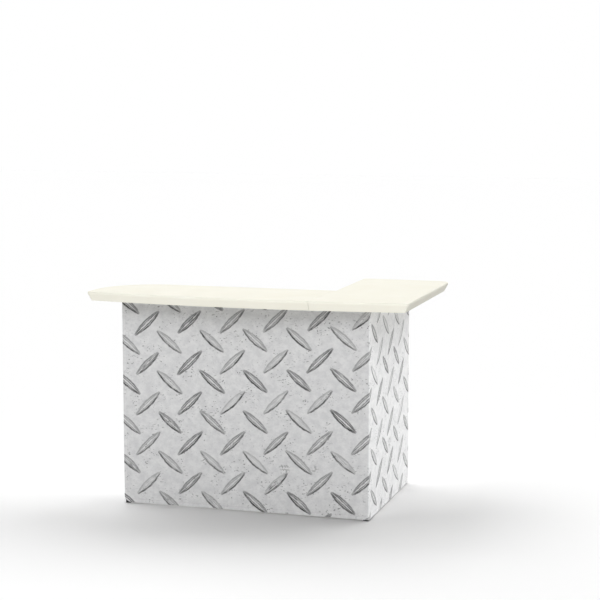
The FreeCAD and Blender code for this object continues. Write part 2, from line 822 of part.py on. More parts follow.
def check_document():
    """Stop if any object failed or any sub-part has no sound shape."""
    doc.recompute()
    for item in doc.Objects:
        if "Invalid" in item.State or "Error" in item.State:
            raise RuntimeError(f"{item.Label} failed: {item.State}")
    for label, item in nodes.items():
        if item.Shape.isNull() or not item.Shape.isValid() or not item.Shape.Solids:
            raise RuntimeError(f"{label} has no sound solid")


front_frame()
wing("right", "right_inner", "right_wing_length", "frame_back")
wing("left", "frame_left", "left_wing_length", "left_wing_end")
skins()
strips()
hinges()
for shelf_level in ("upper", "lower"):
    shelf(shelf_level)
countertop()
pegs()
base_screws()
turn_buttons()
check_document()

os.makedirs("parts", exist_ok=True)
for label, item in nodes.items():
    item.Shape.exportStep(f"parts/{label}.step")
    print(label, len(item.Shape.Solids), round(item.Shape.Volume / 1000), "cm3")
print(len(nodes), "sub-parts")
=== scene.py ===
# %% [markdown]
# # A portable bar
# The bar is an L-shaped countertop of cream moulded plastic, in two sections, on a folding
# frame of black tubes. A printed wrap with a grey tread-plate pattern covers the front and
# the sides. The rigid pieces come in as solids at their true size and place. This lesson
# gives every surface its finish, makes the soft wrap, rounds the hardware, and sets up the
# studio.

# %% Load the frame
import json
import math

import bmesh
import bpy
from mathutils import Matrix, Vector


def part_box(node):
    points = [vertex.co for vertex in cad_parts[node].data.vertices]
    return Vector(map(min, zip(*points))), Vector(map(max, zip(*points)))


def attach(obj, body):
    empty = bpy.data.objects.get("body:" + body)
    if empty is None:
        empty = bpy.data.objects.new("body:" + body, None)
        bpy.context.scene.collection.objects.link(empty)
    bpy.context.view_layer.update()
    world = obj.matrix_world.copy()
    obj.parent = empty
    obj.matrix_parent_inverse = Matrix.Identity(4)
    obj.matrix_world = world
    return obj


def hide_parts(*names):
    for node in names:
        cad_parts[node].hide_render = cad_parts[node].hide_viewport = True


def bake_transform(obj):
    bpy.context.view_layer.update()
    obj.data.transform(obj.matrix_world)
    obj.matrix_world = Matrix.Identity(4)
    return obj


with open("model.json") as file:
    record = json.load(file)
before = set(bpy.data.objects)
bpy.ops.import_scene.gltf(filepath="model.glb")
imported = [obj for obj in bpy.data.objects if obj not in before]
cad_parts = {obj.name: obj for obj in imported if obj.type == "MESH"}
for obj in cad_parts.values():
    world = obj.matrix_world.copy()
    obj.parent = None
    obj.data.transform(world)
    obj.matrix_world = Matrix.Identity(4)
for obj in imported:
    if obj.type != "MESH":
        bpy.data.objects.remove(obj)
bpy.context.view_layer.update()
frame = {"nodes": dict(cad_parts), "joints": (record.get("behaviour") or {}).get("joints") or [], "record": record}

MM = 0.001
nodes = frame["nodes"]

# %% [markdown]
# ## Tools for the materials
# Colours are picked on a screen as sRGB, but the renderer works with linear light, so one
# function turns a hex value to linear. Node graphs could be built by hand in the shader
# editor; here one small function adds a node, sets it and links it, and hands back its
# output, so that a graph reads from top to bottom and ends in the shader.

# %% Colour and node helpers
def linear(colour):
    """An sRGB hex colour as linear red, green, blue and alpha."""
    shares = [int(colour[k:k + 2], 16) / 255 for k in (1, 3, 5)]
    return [c / 12.92 if c <= 0.04045 else ((c + 0.055) / 1.055) ** 2.4 for c in shares] + [1.0]


def add_node(tree, kind, inputs=(), output=0, **settings):
    """Add a node with its settings, set or link its inputs, and give back one output."""
    node = tree.nodes.new("ShaderNode" + kind)
    for name, value in settings.items():
        setattr(node, name, value)
    for key, value in inputs.items() if isinstance(inputs, dict) else enumerate(inputs):
        if isinstance(value, bpy.types.NodeSocket):
            tree.links.new(value, node.inputs[key])
        else:
            node.inputs[key].default_value = value
    return node.outputs[output] if node.outputs else None


def new_material(name):
    """A material with no nodes yet, and its node tree."""
    material = bpy.data.materials.new(name)
    material.use_nodes = True
    material.node_tree.nodes.clear()
    return material, material.node_tree


# Outputs and settings that come back in many graphs: the place on the object, the flat map
# of a cloth, the mixed colour of a mix node, and a soft step.
OBJECT_PLACE, FLAT_MAP, MIXED = 3, 2, 2
COLOURS = {"data_type": "RGBA"}
SOFT_STEP = {"interpolation_type": "SMOOTHSTEP"}

# %% [markdown]
# ## Moulded polyethylene of the countertop
# The sections are blow moulded in cream polyethylene. Such plastic is waxy and satin, with
# a fine stipple from the mould and faint clouds where the wall was thicker. A flat colour
# would look like paper, so two creams are mixed by a slow noise, a few darker rub marks are
# laid on top, and a fine noise gives the stipple to roughness and bump.

# %% Countertop plastic
STIPPLE = 1.6 * MM
CLOUD = 140 * MM
RUB_LENGTH = 62.5 * MM
RUB_WIDTH = 5 * MM
RUB_TURN = 0.5

counter_plastic, graph = new_material("moulded_polyethylene_cream")
place = add_node(graph, "TexCoord", output=OBJECT_PLACE)
cloud = add_node(graph, "TexNoise", {"Vector": place, "Scale": 1 / CLOUD, "Detail": 3.0})
stipple = add_node(graph, "TexNoise", {"Vector": place, "Scale": 1 / STIPPLE, "Detail": 2.0})
stretched = add_node(graph, "Mapping", {
    "Vector": place, "Rotation": (0.0, 0.0, RUB_TURN),
    "Scale": (RUB_WIDTH / RUB_LENGTH, 1.0, 1.0)})
rub = add_node(graph, "TexNoise", {"Vector": stretched, "Scale": 1 / RUB_WIDTH, "Detail": 3.0})
rubbed = add_node(graph, "MapRange", [rub, 0.62, 0.78, 0.0, 0.5], **SOFT_STEP)
cream = add_node(graph, "Mix", {0: cloud, 6: linear("#F1EEDF"), 7: linear("#F6F4E9")},
                 MIXED, **COLOURS)
handled = add_node(graph, "Mix", {0: rubbed, 6: cream, 7: linear("#ECE8D7")}, MIXED, **COLOURS)
gloss = add_node(graph, "MapRange", [stipple, 0.0, 1.0, 0.6, 0.76])
bump = add_node(graph, "Bump", {"Height": stipple, "Strength": 0.12, "Distance": 0.1 * MM})
shader = add_node(graph, "BsdfPrincipled", {
    "Base Color": handled, "Roughness": gloss, "Normal": bump, "IOR": 1.51,
    "Specular IOR Level": 0.2})
add_node(graph, "OutputMaterial", {"Surface": shader})
print(counter_plastic.name, len(graph.nodes), "nodes")

# %% [markdown]
# ## Powder-coated steel, zinc, caps and shelf board
# The tubes are sprayed with black powder and baked: a satin black with orange peel a few
# millimetres wide, and grey scuffs where tubes rub when the bar is folded. Hinges are
# zinc-plated steel, bright and slightly blotchy. Caps, feet and fittings are moulded nylon,
# and the shelves are sheets of cream polyethylene board. They differ in colour, gloss and
# grain only, so one loop makes them.

# %% Finishes from one loop
# name: dark colour, light colour, scuff colour, metallic, lowest and highest roughness,
# grain in mm, bump
FINISHES = {
    # satin black with orange peel, grey where it is scuffed
    "powder_coated_steel_black":
        ("#141415", "#1E1E20", "#4A4A4C", 0.0, 0.34, 0.5, 2.4, 0.10),
    # bright blotchy metal
    "zinc_plated_steel": ("#A9ABAE", "#C4C6C8", "#8E9094", 1.0, 0.26, 0.42, 5.0, 0.03),
    # dull black and dull grey with a fine grain
    "moulded_nylon_black": ("#1B1B1C", "#262628", "#3C3C3E", 0.0, 0.5, 0.62, 1.2, 0.08),
    "moulded_nylon_grey": ("#4A4B4D", "#57585B", "#6B6C6F", 0.0, 0.45, 0.6, 1.2, 0.08),
    # waxy cream, a little darker than the countertop
    "polyethylene_board_cream":
        ("#E9E4D3", "#F1EDDF", "#DDD6C2", 0.0, 0.42, 0.56, 1.8, 0.10),
}
BLOTCH = 30 * MM
SCUFF = 9 * MM

finishes = {}
for name, (dark, light, worn, metallic, low, high, grain, tooth) in FINISHES.items():
    finish, graph = new_material(name)
    place = add_node(graph, "TexCoord", output=OBJECT_PLACE)
    fine = add_node(graph, "TexNoise", {
        "Vector": place, "Scale": 1 / (grain * MM), "Detail": 2.0})
    blotch = add_node(graph, "TexNoise", {"Vector": place, "Scale": 1 / BLOTCH, "Detail": 4.0})
    marks = add_node(graph, "TexNoise", {
        "Vector": place, "Scale": 1 / SCUFF, "Detail": 6.0, "Roughness": 0.7})
    scuffed = add_node(graph, "MapRange", [marks, 0.63, 0.74, 0.0, 0.55], **SOFT_STEP)
    colour = add_node(graph, "Mix", {0: blotch, 6: linear(dark), 7: linear(light)},
                      MIXED, **COLOURS)
    used = add_node(graph, "Mix", {0: scuffed, 6: colour, 7: linear(worn)}, MIXED, **COLOURS)
    gloss = add_node(graph, "MapRange", [blotch, 0.3, 0.7, low, high])
    bump = add_node(graph, "Bump", {"Height": fine, "Strength": tooth, "Distance": 0.2 * MM})
    shader = add_node(graph, "BsdfPrincipled", {
        "Base Color": used, "Roughness": gloss, "Normal": bump, "Metallic": metallic})
    add_node(graph, "OutputMaterial", {"Surface": shader})
    finishes[name] = finish
print(len(finishes), "finishes")

# %% [markdown]
# ## Hook-and-loop tape
# The wrap holds to the tubes by hook tape, a black nylon ribbon set with rows of tiny
# hooks. The rows are about 1.5 mm apart, and from a step away they read as a dull black
# with a fine tooth. A cell pattern in the colour and the bump gives the tooth.

# %% Hook tape
HOOK_PITCH = 1.5 * MM

hook_tape, graph = new_material("nylon_hook_tape_black")
place = add_node(graph, "TexCoord", output=OBJECT_PLACE)
hooks = add_node(graph, "TexVoronoi", {"Vector": place, "Scale": 1 / HOOK_PITCH})
colour = add_node(graph, "Mix", {0: hooks, 6: linear("#2A2A2B"), 7: linear("#101011")},
                  MIXED, **COLOURS)
bump = add_node(graph, "Bump", {"Height": hooks, "Strength": 0.5, "Distance": 0.5 * MM},
                invert=True)
shader = add_node(graph, "BsdfPrincipled", {
    "Base Color": colour, "Normal": bump, "Roughness": 0.85, "Sheen Weight": 0.2})
add_node(graph, "OutputMaterial", {"Surface": shader})
print(hook_tape.name, len(graph.nodes), "nodes")

# %% [markdown]
# ## The print on the wrap
# The wrap is a white knit printed with worn tread plate: pointed bars in two directions,
# set like a basket weave, on a plate full of specks and scratches. A picture could carry
# it, but then it would be stuck at one size. Here each direction is a lattice: the distance
# to the nearest lattice point, turned to the bar's own direction, tells how far a point is
# from that bar's pointed outline. The map on the wrap is in metres, so the sizes below are
# real ones. The rows climb a little to the right, about 64 mm in each metre.

# %% Print: the map, with its rows climbing and its lines drawn by a shaky hand
ROW_CLIMB = 0.064
SHAKE = 7 * MM
SHAKE_SIZE = 19 * MM

printed_knit, cloth = new_material("printed_polyester_knit")
flat_map = add_node(cloth, "TexCoord", output=FLAT_MAP)
shake = add_node(cloth, "TexNoise", {
    "Vector": flat_map, "Scale": 1 / SHAKE_SIZE, "Detail": 4.0}, output=1)
shaken = add_node(cloth, "VectorMath",
                  [shake, (SHAKE, SHAKE, 0.0), (-SHAKE / 2, -SHAKE / 2, 0.0)],
                  operation="MULTIPLY_ADD")
drawn = add_node(cloth, "VectorMath", [flat_map, shaken], operation="ADD")
across = add_node(cloth, "SeparateXYZ", [drawn])
up = add_node(cloth, "VectorMath", [drawn, (-ROW_CLIMB, 1.0, 0.0)], output=1,
              operation="DOT_PRODUCT")
rows = add_node(cloth, "CombineXYZ", [across, up, 0.0])
print("rows climb", ROW_CLIMB, "m per m, lines shake by", SHAKE, "m")

# %% [markdown]
# The bars of one direction stand in a lattice of columns and rows. Each cell of it holds one
# bar and has a number of its own, so that no two bars need be alike. A bar is a pointed
# oval: half its width shrinks with the square of the distance along it.

# %% Print: the lattice and the outline of the bars
BAR_LENGTH = 172 * MM
BAR_WIDTH = 30 * MM
BAR_TILT = math.radians(42)
LENGTH_SPREAD = 0.06
COLUMN_PITCH = 221.6 * MM
ROW_PITCH = 201 * MM


def nearest_bar(first_column, first_row, seed):
    """Where a point lies from the middle of its nearest bar, and the number of that bar."""
    shares = (1 / COLUMN_PITCH, 1 / ROW_PITCH, 0.0)
    start = (0.5 - first_column / COLUMN_PITCH, 0.5 - first_row / ROW_PITCH, 0.0)
    lattice = add_node(cloth, "VectorMath", [rows, shares, start], operation="MULTIPLY_ADD")
    cell = add_node(cloth, "VectorMath", [lattice], operation="FLOOR")
    in_cell = add_node(cloth, "VectorMath", [lattice], operation="FRACTION")
    offset = add_node(cloth, "VectorMath",
                      [in_cell, (COLUMN_PITCH, ROW_PITCH, 0.0),
                       (-COLUMN_PITCH / 2, -ROW_PITCH / 2, 0.0)], operation="MULTIPLY_ADD")
    number = add_node(cloth, "VectorMath", [cell, (0.0, 0.0, seed)], operation="ADD")
    return offset, number


def pointed_outline(offset, tilt, chance):
    """The squared share of the way to a tip, the place across the bar, and half its width."""
    along = add_node(cloth, "VectorMath", [offset, (math.cos(tilt), math.sin(tilt), 0.0)], 1,
                     operation="DOT_PRODUCT")
    aside = add_node(cloth, "VectorMath", [offset, (-math.sin(tilt), math.cos(tilt), 0.0)], 1,
                     operation="DOT_PRODUCT")
    per_metre = 2 / BAR_LENGTH
    reach = add_node(cloth, "MapRange", [chance, 0.0, 1.0, per_metre * (1 - LENGTH_SPREAD),
                                         per_metre * (1 + LENGTH_SPREAD)])
    share = add_node(cloth, "Math", [along, reach], operation="MULTIPLY")
    square = add_node(cloth, "Math", [share, share], operation="MULTIPLY")
    half_width = add_node(cloth, "Math", [square, -BAR_WIDTH / 2, BAR_WIDTH / 2],
                          operation="MULTIPLY_ADD")
    return square, aside, half_width


print("bars", BAR_LENGTH, "by", BAR_WIDTH, "m, every", COLUMN_PITCH, "by", ROW_PITCH, "m")

# %% [markdown]
# Each bar looks like a worn ridge: a dark line on its lower side, a fainter one above, a
# thin one round its narrow top, and a light body with streaks along it. Streaks are a noise
# drawn out along the bar; they also break up the lines, as wear does.

# %% Print: the ink of the bars
STREAK = 5 * MM
STREAK_SQUEEZE = 0.12
TOP_SHARE = 0.42
BODY_INK = 0.07


def streaks_along(offset, number, tilt):
    """A noise that runs along a bar and differs from bar to bar."""
    grain = add_node(cloth, "VectorMath", [offset, (1.0, 1.0, 0.0), number],
                     operation="MULTIPLY_ADD")
    lengthwise = add_node(cloth, "Mapping", {"Vector": grain, "Rotation": (0.0, 0.0, -tilt)})
    drawn_out = add_node(cloth, "Mapping", {
        "Vector": lengthwise, "Scale": (STREAK_SQUEEZE, 1.0, 1.0)})
    return add_node(cloth, "TexNoise", {
        "Vector": drawn_out, "Scale": 1 / STREAK, "Detail": 4.0})


def ink_lines(aside, half_width, depth, from_middle, chances):
    """How dark the lines round a bar and round its top are."""
    to_rim = add_node(cloth, "Math", [depth], operation="ABSOLUTE")
    top_depth = add_node(cloth, "Math", [half_width, -TOP_SHARE, from_middle],
                         operation="MULTIPLY_ADD")
    to_top = add_node(cloth, "Math", [top_depth], operation="ABSOLUTE")
    rim = add_node(cloth, "MapRange", [to_rim, 2.2 * MM, 6 * MM, 1.0, 0.0], **SOFT_STEP)
    below = add_node(cloth, "MapRange", [aside, -4 * MM, 4 * MM, 1.0, 0.0], **SOFT_STEP)
    low_rim = add_node(cloth, "MapRange", [chances[1], 0.0, 1.0, 0.8, 1.0])
    high_rim = add_node(cloth, "MapRange", [chances[2], 0.0, 1.0, 0.35, 0.8])
    rim_ink = add_node(cloth, "Mix", {0: below, 2: high_rim, 3: low_rim})
    rim_dark = add_node(cloth, "Math", [rim, rim_ink], operation="MULTIPLY")
    top_line = add_node(cloth, "MapRange", [to_top, 0.8 * MM, 3.6 * MM, 1.0, 0.0], **SOFT_STEP)
    top_ink = add_node(cloth, "MapRange", [chances[2], 0.0, 1.0, 0.2, 0.95])
    top_dark = add_node(cloth, "Math", [top_line, top_ink], operation="MULTIPLY")
    return add_node(cloth, "Math", [rim_dark, top_dark], operation="MAXIMUM")


def ink_body(depth, streak, chance):
    """How dark the inside of a bar is: nearly bare, or full of streaks."""
    lines = add_node(cloth, "MapRange", [streak, 0.48, 0.6, 0.0, 1.0], **SOFT_STEP)
    fill = add_node(cloth, "MapRange", [chance, 0.25, 1.0, 0.0, 0.8])
    streaks = add_node(cloth, "Math", [lines, fill], operation="MULTIPLY")
    body = add_node(cloth, "Math", [streaks, BODY_INK], operation="MAXIMUM")
    inside = add_node(cloth, "MapRange", [depth, -5 * MM, 5 * MM, 1.0, 0.0], **SOFT_STEP)
    return add_node(cloth, "Math", [inside, body], operation="MULTIPLY")


# %% Print: both directions of bars
def bars(first_column, first_row, tilt, seed):
    """How dark one lattice of bars prints, from 0 to 1."""
    offset, number = nearest_bar(first_column, first_row, seed)
    colour_of_chance = add_node(cloth, "TexWhiteNoise", [number], output=1)
    chances = [add_node(cloth, "SeparateColor", [colour_of_chance], k) for k in range(3)]
    square, aside, half_width = pointed_outline(offset, tilt, chances[0])
    from_middle = add_node(cloth, "Math", [aside], operation="ABSOLUTE")
    depth = add_node(cloth, "Math", [from_middle, half_width], operation="SUBTRACT")
    streak = streaks_along(offset, number, tilt)
    lines = ink_lines(aside, half_width, depth, from_middle, chances)
    kept = add_node(cloth, "MapRange", [streak, 0.32, 0.52, 0.5, 1.0], **SOFT_STEP)
    worn_lines = add_node(cloth, "Math", [lines, kept], operation="MULTIPLY")
    faded = add_node(cloth, "MapRange", [square, 0.4, 1.0, 1.0, 0.65], **SOFT_STEP)
    faded_lines = add_node(cloth, "Math", [worn_lines, faded], operation="MULTIPLY")
    body = ink_body(depth, streak, chances[0])
    dark = add_node(cloth, "Math", [faded_lines, body], operation="MAXIMUM")
    # the lattice goes on past the tips, where the outline turns inside out
    tips = add_node(cloth, "MapRange", [square, 0.86, 1.02, 1.0, 0.0], **SOFT_STEP)
    return add_node(cloth, "Math", [dark, tips], operation="MULTIPLY")


# the first bar of each direction, from the wrap's left edge and from the floor
rising = bars(130.5 * MM, 101.9 * MM, BAR_TILT, seed=1.0)
falling = bars(25.7 * MM, 6.3 * MM, -BAR_TILT, seed=7.0)
bar_dark = add_node(cloth, "Math", [rising, falling], operation="MAXIMUM")
print("both directions", len(cloth.nodes), "nodes")

# %% [markdown]
# Between the bars the plate is worn too. Specks are cells of a Voronoi pattern and scratches
# a drawn-out noise, both kept to dirty patches. Here and there lies a crumbly smudge. Under
# them the grey of the plate is clouded. All of it is mixed as ink, and only at the end does
# it become a colour.

# %% Print: specks, scratches, smudges and clouds
SPECK_CELL = 23 * MM
DIRTY_PATCH = 90 * MM
SCRATCH = 8 * MM
SCRATCH_TILT = math.radians(-35)
SCRATCH_SQUEEZE = 0.55
SMUDGE_PITCH = 290 * MM
CRUMB = 13 * MM
PLATE_CLOUD = 40 * MM

patches = add_node(cloth, "TexNoise", {
    "Vector": flat_map, "Scale": 1 / DIRTY_PATCH, "Detail": 4.0})
dirty = add_node(cloth, "MapRange", [patches, 0.46, 0.62, 0.08, 1.0], **SOFT_STEP)
specks = add_node(cloth, "TexVoronoi", {"Vector": drawn, "Scale": 1 / SPECK_CELL})
spots = add_node(cloth, "MapRange", [specks, 0.06, 0.18, 0.8, 0.0], **SOFT_STEP)
speck_dark = add_node(cloth, "Math", [spots, dirty], operation="MULTIPLY")
scratch_map = add_node(cloth, "Mapping", {
    "Vector": drawn, "Rotation": (0.0, 0.0, SCRATCH_TILT),
    "Scale": (SCRATCH_SQUEEZE, 1.0, 1.0)})
scratch = add_node(cloth, "TexNoise", {
    "Vector": scratch_map, "Scale": 1 / SCRATCH, "Detail": 3.0})
scratch_ink = add_node(cloth, "MapRange", [scratch, 0.59, 0.68, 0.0, 0.7], **SOFT_STEP)
scratch_dark = add_node(cloth, "Math", [scratch_ink, dirty], operation="MULTIPLY")
marks = add_node(cloth, "Math", [speck_dark, scratch_dark], operation="MAXIMUM")
smudges = add_node(cloth, "TexVoronoi", {"Vector": drawn, "Scale": 1 / SMUDGE_PITCH})
smudge = add_node(cloth, "MapRange", [smudges, 0.06, 0.13, 1.0, 0.0], **SOFT_STEP)
crumbs = add_node(cloth, "TexNoise", {"Vector": drawn, "Scale": 1 / CRUMB, "Detail": 4.0})
crumb_ink = add_node(cloth, "MapRange", [crumbs, 0.48, 0.6, 0.0, 0.5], **SOFT_STEP)
smudge_dark = add_node(cloth, "Math", [smudge, crumb_ink], operation="MULTIPLY")
dirt = add_node(cloth, "Math", [marks, smudge_dark], operation="MAXIMUM")
dark = add_node(cloth, "Math", [bar_dark, dirt], operation="MAXIMUM")
clouds = add_node(cloth, "TexNoise", {
    "Vector": flat_map, "Scale": 1 / PLATE_CLOUD, "Detail": 7.0, "Roughness": 0.7})
mottle = add_node(cloth, "MapRange", [clouds, 0.3, 0.7, 0.0, 1.0], **SOFT_STEP)
plate = add_node(cloth, "Mix", {0: mottle, 6: linear("#D6D6D7"), 7: linear("#E9E9E9")},
                 MIXED, **COLOURS)
ink = add_node(cloth, "Mix", {0: dark, 6: plate, 7: linear("#1E1E1F")}, MIXED, **COLOURS)
print("print", len(cloth.nodes), "nodes")

# %% [markdown]
# The knit itself has about 14 courses to the centimetre. Drawn at 0.7 mm they would vanish,
# so the bump draws them at 2 mm, which shows as a faint tooth close up. Inside, the cloth is
# bare: the same courses in white thread, and nothing printed.

# %% Print: the knit, and the bare back of the cloth
COURSE = 2 * MM
WAVES_PER_SCALE = 0.31  # a wave texture at scale 1 repeats about every 0.31 m

courses = add_node(cloth, "TexWave", {"Vector": flat_map, "Scale": WAVES_PER_SCALE / COURSE,
                                      "Distortion": 0.4}, bands_direction="Y")
bump = add_node(cloth, "Bump", {"Height": courses, "Strength": 0.08, "Distance": 0.2 * MM})
shader = add_node(cloth, "BsdfPrincipled", {
    "Base Color": ink, "Normal": bump, "Roughness": 0.72, "Sheen Weight": 0.12})
add_node(cloth, "OutputMaterial", {"Surface": shader})

knit_back, graph = new_material("polyester_knit_back")
back_map = add_node(graph, "TexCoord", output=FLAT_MAP)
courses = add_node(graph, "TexWave", {"Vector": back_map, "Scale": WAVES_PER_SCALE / COURSE,
                                      "Distortion": 0.6}, bands_direction="Y")
colour = add_node(graph, "Mix", {0: courses, 6: linear("#D9D9D8"), 7: linear("#E6E6E4")},
                  MIXED, **COLOURS)
bump = add_node(graph, "Bump", {"Height": courses, "Strength": 0.15, "Distance": 0.3 * MM})
shader = add_node(graph, "BsdfPrincipled", {
    "Base Color": colour, "Normal": bump, "Roughness": 0.85, "Sheen Weight": 0.2})
add_node(graph, "OutputMaterial", {"Surface": shader})
print(printed_knit.name, len(cloth.nodes), "nodes")

# %% [markdown]
# ## Finishes on the solids
# Every solid keeps its shape and gets the finish of the real piece. The record of the part
# names a slot for each solid, so the finish goes on by slot.

# %% Put the finishes on
SLOT_FINISH = {
    "counter_plastic": counter_plastic,
    "printed_skin": printed_knit,
    "hook_tape": hook_tape,
    "frame_steel": finishes["powder_coated_steel_black"],
    "zinc_steel": finishes["zinc_plated_steel"],
    "cap_plastic": finishes["moulded_nylon_black"],
    "fitting_plastic": finishes["moulded_nylon_grey"],
    "shelf_board": finishes["polyethylene_board_cream"],
}
slot_of = {entry["node"]: entry["material_slot"] for entry in frame["record"]["subparts"]}
for name, solid in nodes.items():
    solid.data.materials.clear()
    solid.data.materials.append(SLOT_FINISH[slot_of[name]])
print({slot: list(slot_of.values()).count(slot) for slot in SLOT_FINISH})

# %% [markdown]
# ## Tools for modelling
# The soft and small pieces are made as by hand: a primitive is added, some of its vertices
# are chosen, and operators work on them. Choosing by place stands for clicking. Cutting
# across with bisect stands for drawing cuts with the mouse, and puts them at exact places.

# %% Helpers for modelling
def begin():
    """Nothing selected, so that the next operator acts on the new piece alone."""
    if bpy.context.object and bpy.context.object.mode != "OBJECT":
        bpy.ops.object.mode_set(mode="OBJECT")
    bpy.ops.object.select_all(action="DESELECT")


def choose(piece, test):
    """In edit mode, select the vertices whose place passes a test, and what they span."""
    bpy.ops.object.mode_set(mode="EDIT")
    bpy.ops.mesh.select_mode(type="VERT")
    bpy.ops.mesh.select_all(action="DESELECT")
    mesh = bmesh.from_edit_mesh(piece.data)
    for corner in mesh.verts:
        corner.select_set(test(corner.co))
    mesh.select_flush(True)
    bmesh.update_edit_mesh(piece.data)


def cut_across(axis, places):
    """Cut the whole piece with planes square to one axis."""
    normal = [1.0 if k == axis else 0.0 for k in range(3)]
    for place in places:
        bpy.ops.mesh.select_all(action="SELECT")
        bpy.ops.mesh.bisect(plane_co=[place * n for n in normal], plane_no=normal)


def steps(low, high, size):
    """Evenly spaced places between two ends, about a size apart."""
    count = max(1, round((high - low) / size))
    return [low + (high - low) * k / count for k in range(1, count)]


def apply_modifiers(piece):
    """Turn what the modifiers show into the mesh itself."""
    bpy.context.view_layer.objects.active = piece
    for modifier in list(piece.modifiers):
        bpy.ops.object.modifier_apply(modifier=modifier.name)


def smooth(degrees):
    """Shade the active piece smooth, but keep edges sharper than an angle."""
    bpy.ops.object.shade_smooth_by_angle(angle=math.radians(degrees))


def join_pieces(pieces):
    """Join pieces into one, and give it back."""
    begin()
    for piece in pieces:
        piece.select_set(True)
    bpy.context.view_layer.objects.active = pieces[0]
    bpy.ops.object.join()
    return bpy.context.object


# %% [markdown]
# ## The wrap round the front and the right side
# The real wrap is one length of printed knit, stretched over the tubes and held by tape, so
# it is made as one sheet: a plane for the front with its lower left corner rounded, spun
# round the right post and drawn out along the side. Rows and columns are cut in with bisect,
# closer together at the hinge, where the sheet has to bend when the side frame folds.

# %% Sizes of the wrap, from the solids
NEAR = 0.1 * MM
FOLD_RADIUS = 4 * MM
CORNER_RADIUS = 35 * MM
THICKNESS = 1.5 * MM

front_low, front_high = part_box("skin_front")
side_low, side_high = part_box("skin_right")
wrap_left, wrap_right = front_low.x, side_high.x
wrap_front, wrap_back = front_low.y, side_high.y
wrap_low, wrap_high = front_low.z, front_high.z
wrap_height = wrap_high - wrap_low
wrap_middle = (wrap_low + wrap_high) / 2
fold_x, fold_y = wrap_right - FOLD_RADIUS, wrap_front + FOLD_RADIUS
print("wrap", round(wrap_right - wrap_left, 3), "wide", round(wrap_back - wrap_front, 3), "deep")

# %% Shape the wrap
CORNER_STEPS = 10
FOLD_STEPS = 6

begin()
bpy.ops.mesh.primitive_plane_add(
    size=1, location=((wrap_left + fold_x) / 2, wrap_front, wrap_middle),
    rotation=(math.pi / 2, 0, 0))
wrap = bpy.context.object
wrap.name = "front_wrap"
wrap.scale = (fold_x - wrap_left, wrap_height, 1)
bpy.ops.object.transform_apply(location=True, rotation=True, scale=True)
choose(wrap, lambda p: p.x < wrap_left + NEAR and p.z < wrap_low + NEAR)
bpy.ops.mesh.bevel(offset=CORNER_RADIUS, segments=CORNER_STEPS, affect="VERTICES")
choose(wrap, lambda p: p.x > fold_x - NEAR)
bpy.ops.mesh.spin(steps=FOLD_STEPS, angle=-math.pi / 2, center=(fold_x, fold_y, 0),
                  axis=(0, 0, 1))
bpy.ops.mesh.extrude_region_move(TRANSFORM_OT_translate={"value": (0, wrap_back - fold_y, 0)})
bpy.ops.mesh.select_all(action="SELECT")
bpy.ops.mesh.normals_make_consistent(inside=False)
bpy.ops.object.mode_set(mode="OBJECT")
print("wrap box", [round(size, 4) for size in wrap.dimensions])
print("side's normal", [round(n, 1) for n in wrap.data.polygons[-1].normal])

# %% Rows and columns
ROW = 26 * MM
COLUMN = 30 * MM
HEM = 20 * MM
SEAM_INSET = 18 * MM
HEM_STEPS = [2 * MM, 14 * MM, SEAM_INSET, HEM, 23 * MM]
BEND_HALF = 26 * MM
BEND_STEP = 4 * MM

hinge = next(j for j in frame["joints"] if j["name"] == "right_wing_fold")
hinge_y = hinge["pos_m"][1]
bend_start, bend_end = hinge_y - BEND_HALF, hinge_y + BEND_HALF


def cut_rows():
    """Cut the rows of a wrap, closer together along its lower and upper hems."""
    cut_across(2, [wrap_low + d for d in HEM_STEPS] + [wrap_high - d for d in HEM_STEPS])
    cut_across(2, steps(wrap_low + HEM, wrap_high - HEM, ROW))


def cut_side(back):
    """Cut the columns of a side, closer together at the hinge, up to its back hem."""
    cut_across(1, [back - d for d in HEM_STEPS])
    cut_across(1, steps(bend_start - BEND_STEP, bend_end + BEND_STEP, BEND_STEP))
    cut_across(1, steps(bend_end + BEND_STEP, back - HEM, COLUMN))


choose(wrap, lambda p: True)
cut_rows()
cut_across(0, [wrap_left + d for d in HEM_STEPS])
cut_across(0, steps(wrap_left + HEM, fold_x, COLUMN))
cut_side(wrap_back)
bpy.ops.object.mode_set(mode="OBJECT")
print("wrap faces", len(wrap.data.polygons))

# %% [markdown]
# The print needs a flat map of the sheet in metres: how far a point lies along the cloth
# from the front's left edge, and how high it is above the floor. The front, the fold and
# the side follow each other, so the distance is worked out from the place of each corner.

# %% Flat map of the wrap
fold_length = FOLD_RADIUS * math.pi / 2


def along_wrap(place):
    """Distance along the cloth from the left edge of the front."""
    if place.y <= fold_y + NEAR and place.x <= fold_x + NEAR:
        return place.x - wrap_left
    if place.y >= fold_y - NEAR:
        return fold_x - wrap_left + fold_length + place.y - fold_y
    angle = math.atan2(place.x - fold_x, fold_y - place.y)
    return fold_x - wrap_left + FOLD_RADIUS * angle


def map_flat(piece, along):
    """Give a sheet a flat map in metres: along the cloth, and above the floor."""
    while piece.data.uv_layers:
        piece.data.uv_layers.remove(piece.data.uv_layers[0])
    flat = piece.data.uv_layers.new(name="flat")
    for corner in piece.data.loops:
        place = piece.data.vertices[corner.vertex_index].co
        flat.data[corner.index].uv = (along(place), place.z)


map_flat(wrap, along_wrap)
wrap_length = fold_x - wrap_left + fold_length + wrap_back - fold_y
print("cloth length", round(wrap_length, 4))

# %% [markdown]
# Stretched cloth is never a board. Where it is folded over and sewn, the hem stands about a
# millimetre proud and the seam draws it in, and between the tapes it swells a little. Each
# point moves outwards by a sum of those, which stays under the thickness of a finger nail.

